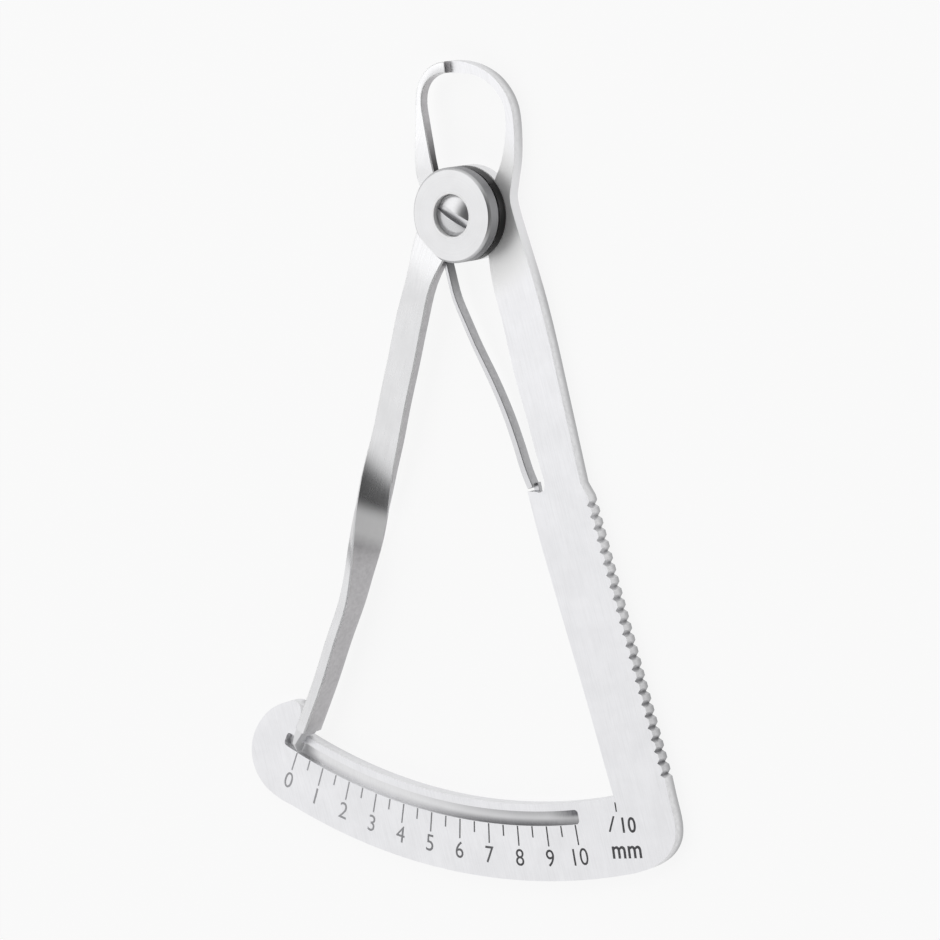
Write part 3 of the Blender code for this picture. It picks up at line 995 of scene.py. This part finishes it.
@dataclass
class ScaleArm:
    """The scale plate with its grip and jaw, and the marks in its face.

    Attributes:
        edge: Width of its rounded edges.
        steel: Its finish.
        marks: What is engraved in it.
    """

    edge: float = 0.00007
    steel: Steel = MilledSteel("plate_satin", face=(0.90, 0.90, 0.92), wall=(0.84, 0.84, 0.85),
                               roughness=0.37, grain=Grain.BRUSHED, heading=-78.0,
                               grain_size=0.00018, foot=0.0001, head=0.0012, foot_shade=0.58)
    marks: ScaleMarks = field(default_factory=ScaleMarks)

    def build(self, bench: Bench) -> None:
        """Models and dresses the pieces.

        Args:
            bench: The mesh tools.
        """
        plate = bench.copy_of("scale_arm", "scale_plate")
        bench.soften(plate, self.edge)
        plate.data.materials.append(self.steel.make())
        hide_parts("scale_arm")
        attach(plate, Body.SCALE.value)
        report(plate)
        report(self.marks.build(bench))


@dataclass
class PointerArm:
    """The lever in front, with the moving jaw and the pointer.

    Attributes:
        edge: Width of its rounded edges.
        bar_low: Lower end of the bar.
        bar_high: Upper end of the bar.
        narrow: Area below which a face of the bar is one of its edges.
        steel: Its finish.
    """

    edge: float = 0.00006
    bar_low: float = -0.066
    bar_high: float = -0.034
    narrow: float = 3e-7
    steel: LeverSteel = LeverSteel("lever_polish", face=(0.79, 0.79, 0.80),
                                   wall=(0.54, 0.53, 0.54), roughness=0.26, grain=Grain.BRUSHED,
                                   heading=68.0, grain_size=0.00016, edge_roughness=0.9,
                                   edge_light=0.8, joint_shade=0.08, joint_reach=0.014,
                                   low_reach=0.0078)

    def build(self, bench: Bench) -> None:
        """Models and dresses the lever.

        Args:
            bench: The mesh tools.
        """
        lever = bench.copy_of("pointer_arm", "pointer_lever", 0.05)
        bench.soften(lever, self.edge)
        self.mark_edges(lever)
        lever.data.materials.append(self.steel.make())
        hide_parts("pointer_arm")
        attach(lever, Body.POINTER.value)
        report(lever)

    def mark_edges(self, lever: bpy.types.Object) -> None:
        """Marks the narrow faces along the bar, which its finish paints bright as a painted
        highlight.

        Args:
            lever: The lever.
        """
        marks = lever.data.attributes.new(self.steel.rubbed, "FLOAT", "FACE")
        for face, mark in zip(lever.data.polygons, marks.data):
            on_bar = self.bar_low < face.center.y < self.bar_high
            mark.value = 1.0 if on_bar and face.area < self.narrow else 0.0


@dataclass
class LeafSpring:
    """The blade between the two levers, which on the real caliper bends as the jaws open.

    Attributes:
        edge: Width of its rounded edges.
        foot: Where it starts to bend; not used.
        tip: Where it leans on the lever.
        longer: How far its end is carried on.
        steel: Its finish.
    """

    edge: float = 0.00003
    foot: tuple[float, float, float] = (0.0021, -0.0219, 0.001)
    tip: tuple[float, float, float] = (-0.0033, -0.0067, 0.002)
    longer: tuple[float, float, float] = (-0.00012, 0.0006, 0.0)
    steel: Steel = Steel("spring_polish", face=(0.74, 0.74, 0.76), wall=(0.49, 0.49, 0.50),
                         roughness=0.28, grain=Grain.BRUSHED, heading=-65.0, grain_size=0.00012,
                         joint_shade=0.28, low_reach=0.012)

    def build(self, bench: Bench) -> None:
        """Models and dresses the spring.

        Args:
            bench: The mesh tools.
        """
        blade = bench.copy_of("leaf_spring", "leaf_spring_blade")
        bpy.ops.object.mode_set(mode="EDIT")
        bench.pick(blade, lambda middle, normal: normal.y > 0.9 and middle.y > self.tip[1] - 0.0005)
        bpy.ops.transform.translate(value=self.longer)
        bpy.ops.object.mode_set(mode="OBJECT")
        bench.soften(blade, self.edge)
        blade.data.materials.append(self.steel.make())
        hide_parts("leaf_spring")
        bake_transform(blade)
        report(blade)


@dataclass
class PivotScrew:
    """The slotted screw with its domed head.

    Attributes:
        radius: Radius of the head.
        seat: Height of the head's underside.
        side: Height of its straight side.
        dome: Rise of its dome.
        shank: Radius of the shank, which ends at the plate's back.
        slot_width: Width of the slot.
        slot_depth: Depth of the slot from the dome's top.
        slot_turn: The slot's direction, in degrees from +X.
        edge: Width of the rounded edges.
        steps: Number of rings in the dome.
        steel: Its finish.
    """

    radius: float = 0.00262
    seat: float = 0.00434
    side: float = 0.00050
    dome: float = 0.00064
    shank: float = 0.0010
    slot_width: float = 0.00100
    slot_depth: float = 0.00090
    slot_turn: float = -32.5
    edge: float = 0.00004
    steps: int = 10
    # Painted shade: the screw's walls, in the slot and round the head, are coloured dark
    steel: Steel = Steel("screw_turned", face=(0.70, 0.70, 0.71), wall=(0.16, 0.16, 0.17),
                         roughness=0.30, grain=Grain.TURNED, grain_size=0.00010)

    def build(self, bench: Bench) -> bpy.types.Object:
        """Models the screw.

        Args:
            bench: The mesh tools.

        Returns:
            The screw.
        """
        bench.hold()
        bpy.ops.mesh.primitive_cylinder_add(vertices=96, radius=self.radius, depth=self.side,
                                            location=(0, 0, self.seat + self.side / 2))
        screw = bpy.context.view_layer.objects.active
        screw.name = "slotted_screw"
        bench.settle(screw, Matrix.Identity(4))
        bpy.ops.object.mode_set(mode="EDIT")
        bench.pick(screw, lambda middle, normal: normal.z > 0.9)
        reach, rise = self.radius, 0.0
        ball = (self.radius ** 2 + self.dome ** 2) / (2 * self.dome)
        for step in range(1, self.steps):
            turn = math.asin(self.radius / ball) * (1 - step / self.steps)
            radius, height = ball * math.sin(turn), ball * math.cos(turn) - ball + self.dome
            bpy.ops.mesh.inset(thickness=reach - radius, depth=height - rise)
            reach, rise = radius, height
        bench.pick(screw, lambda middle, normal: normal.z < -0.9)
        bpy.ops.mesh.inset(thickness=self.radius - self.shank, depth=0.0)
        bpy.ops.mesh.extrude_region_move(
            TRANSFORM_OT_translate={"value": (0, 0, self.edge * 3 - self.seat)})
        bpy.ops.mesh.inset(thickness=self.edge * 2, depth=self.edge * 2)
        bpy.ops.object.mode_set(mode="OBJECT")
        self.cut_slot(bench, screw)
        bench.soften(screw, self.edge, 2, 40.0)
        return screw

    def cut_slot(self, bench: Bench, screw: bpy.types.Object) -> None:
        """Cuts the slot for the screwdriver.

        Args:
            bench: The mesh tools.
            screw: The screw.
        """
        top = self.seat + self.side + self.dome
        bench.hold()
        bpy.ops.mesh.primitive_cube_add(size=1.0)
        cutter = bpy.context.view_layer.objects.active
        size = Matrix.Diagonal((self.radius * 3, self.slot_width, self.slot_depth * 2, 1))
        turn = Matrix.Rotation(math.radians(self.slot_turn), 4, "Z")
        bench.settle(cutter, Matrix.Translation((0, 0, top)) @ turn @ size)
        bench.hold(screw)
        step = screw.modifiers.new("slot", "BOOLEAN")
        step.operation = "DIFFERENCE"
        step.solver = "EXACT"
        step.object = cutter
        bpy.ops.object.modifier_apply(modifier=step.name)
        bpy.data.objects.remove(cutter)


@dataclass
class Pivot:
    """What is stacked on the pivot's axis.

    Attributes:
        disc_edge: Width of the disc's rounded edges.
        disc_steel: The disc's finish.
        screw: The screw.
        bush_steel: The bush's finish.
        bronze: The friction washer's finish.
        wave_steel: The wave washer's finish.
    """

    disc_edge: float = 0.00008
    disc_steel: Steel = BoredSteel("disc_turned", face=(0.80, 0.80, 0.81), wall=(0.37, 0.37, 0.38),
                                   roughness=0.33, wall_roughness=0.6, grain=Grain.TURNED,
                                   grain_size=0.00009, foot=0.0037, head=0.0051, foot_shade=0.6)
    screw: PivotScrew = field(default_factory=lambda: PivotScrew())
    bush_steel: Steel = Steel("bush_ground", face=(0.60, 0.60, 0.61), wall=(0.50, 0.50, 0.51),
                              grain=Grain.TURNED)
    bronze: Steel = Steel("washer_bronze_rubbed", face=(0.70, 0.50, 0.27), wall=(0.42, 0.29, 0.14),
                          roughness=0.38, grain=Grain.TURNED)
    wave_steel: Steel = Steel("wave_blue_grey", face=(0.50, 0.51, 0.54), wall=(0.40, 0.41, 0.43))

    def build(self, bench: Bench) -> None:
        """Models the pieces that show and dresses those that don't.

        Args:
            bench: The mesh tools.
        """
        disc = bench.copy_of("joint_disc", "cover_disc")
        bench.soften(disc, self.disc_edge)
        screw = self.screw.build(bench)
        for piece, node, steel, slot in (
            (disc, "joint_disc", self.disc_steel, "disc_steel"),
            (screw, "pivot_screw", self.screw.steel, "screw_steel"),
        ):
            piece.data.materials.append(steel.make())
            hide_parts(node)
            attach(piece, Body.SCALE.value)
            report(piece)
        for node, steel in (("pivot_bush", self.bush_steel), ("friction_washer", self.bronze),
                            ("wave_washer", self.wave_steel)):
            finish = steel.make()
            for slot in bench.nodes[node].material_slots:
                slot.material = finish
            report(bench.nodes[node])


@dataclass
class Studio:
    """The table, the light and the camera.

    Attributes:
        place: Where the camera stands.
        right: The way to the picture's right.
        back: The way from the object to the camera.
        focal_pixels: Focal length in pixels of the picture.
        image_pixels: Width of the picture.
        sensor: Width of the camera's sensor.
        table_size: Length of the table's side.
        table_drop: How far the table is below the plate's back.
        horizon: Light of the room at the horizon.
        horizon_to: Height of direction from which the room is fully lit.
        opening: The way to the middle of the dark opening.
        opening_core: Angle up to which it is darkest, in degrees.
        opening_rim: Angle at which it ends, in degrees.
        opening_light: Light that is left in it.
        right_from: Where the room's right side starts to be darker.
        right_to: Where it is darkest.
        right_light: Light that is left there.
        key_place: Where the soft lamp stands.
        key_size: Length of its side.
        key_power: Its power in watts.
        floor: The table's material.
    """

    place: tuple[float, float, float] = (0.3326, 0.0293, 0.4587)
    right: tuple[float, float, float] = (0.8086, -0.0790, -0.5831)
    back: tuple[float, float, float] = (0.5884, 0.1085, 0.8013)
    focal_pixels: float = 4500.0
    image_pixels: float = 940.0
    sensor: float = 36.0
    table_size: float = 6.0
    table_drop: float = 0.00004
    horizon: float = 0.35
    horizon_to: float = 0.45
    opening: tuple[float, float, float] = (0.358, -0.05, 0.93)
    opening_core: float = 31.0
    opening_rim: float = 48.0
    opening_light: float = 0.07
    right_from: float = 0.35
    right_to: float = 0.95
    right_light: float = 0.4
    key_place: tuple[float, float, float] = (-0.5, 0.4, 0.9)
    key_size: float = 0.9
    key_power: float = 1.2
    floor: PaleFloor = field(default_factory=PaleFloor)

    def camera(self) -> None:
        """Puts the camera where the photograph was taken from."""
        data = bpy.data.cameras.new("photo_camera")
        data.sensor_width = self.sensor
        data.lens = self.sensor * self.focal_pixels / self.image_pixels
        data.clip_start = 0.01
        data.clip_end = 20.0
        made = bpy.data.objects.new("photo_camera", data)
        bpy.context.scene.collection.objects.link(made)
        back = Vector(self.back).normalized()
        upward = back.cross(Vector(self.right)).normalized()
        across = upward.cross(back)
        turn = Matrix((across, upward, back)).transposed().to_4x4()
        made.matrix_world = Matrix.Translation(self.place) @ turn
        bpy.context.scene.camera = made

    def table(self) -> None:
        """Lays the table under the caliper."""
        bpy.ops.object.select_all(action="DESELECT")
        bpy.ops.mesh.primitive_plane_add(size=self.table_size, location=(0, 0, -self.table_drop))
        table = bpy.context.view_layer.objects.active
        table.name = "table"
        table.data.materials.append(self.floor.make())

    def sky(self) -> None:
        """A white light tent with a dark opening overhead, which polished steel shows as black."""
        world = bpy.data.worlds.new("studio_room")
        bpy.context.scene.world = world
        world.use_nodes = True
        nodes = Nodes(world.node_tree)
        way = nodes.place("Generated")
        x, _, z = nodes.parts(way)
        low = z.ramp(0.0, self.horizon_to, self.horizon, 1.0)
        inputs = {0: way, 1: Vector(self.opening).normalized()}
        aim = nodes.node("ShaderNodeVectorMath", {"operation": "DOT_PRODUCT"}, inputs, "Value")
        rim, core = math.radians(self.opening_rim), math.radians(self.opening_core)
        hole = aim.ramp(math.cos(rim), math.cos(core), 1.0, self.opening_light)
        right = x.ramp(self.right_from, self.right_to, 1.0, self.right_light)
        background = nodes.tree.nodes["Background"]
        background.inputs["Color"].default_value = (*WHITE, 1.0)
        nodes.feed(background.inputs["Strength"], low * hole * right)

    def lamp(self, name: str, place: tuple[float, float, float], size: float, power: float) -> None:
        """Adds a soft lamp that looks at the pivot.

        Args:
            name: Its name.
            place: Where it stands.
            size: Length of its side.
            power: Its power in watts.
        """
        data = bpy.data.lights.new(name, "AREA")
        data.shape = "SQUARE"
        data.size = size
        data.energy = power
        made = bpy.data.objects.new(name, data)
        bpy.context.scene.collection.objects.link(made)
        made.location = place
        made.rotation_euler = Vector(place).to_track_quat("Z", "Y").to_euler()

    def build(self) -> None:
        """Sets everything up."""
        bpy.context.scene.view_settings.view_transform = "Standard"
        self.camera()
        self.table()
        self.sky()
        self.lamp("key_softbox", self.key_place, self.key_size, self.key_power)


def shaded(colour: Colour, share: float) -> Colour:
    """A colour at a share of its strength."""
    return (colour[0] * share, colour[1] * share, colour[2] * share)


def report(piece: bpy.types.Object) -> None:
    """Logs a finished piece and its number of faces."""
    LOG.info("%s: %d faces", piece.name, len(piece.data.polygons))


def main() -> None:
    """Loads the frame and builds the caliper and its studio."""
    logging.basicConfig(level=logging.INFO, format="%(message)s")
    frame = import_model()
    bench = Bench(frame["nodes"])
    Studio().build()
    for assembly in (ScaleArm(), PointerArm(), LeafSpring(), Pivot()):
        assembly.build(bench)


if __name__ == "__main__":
    main()
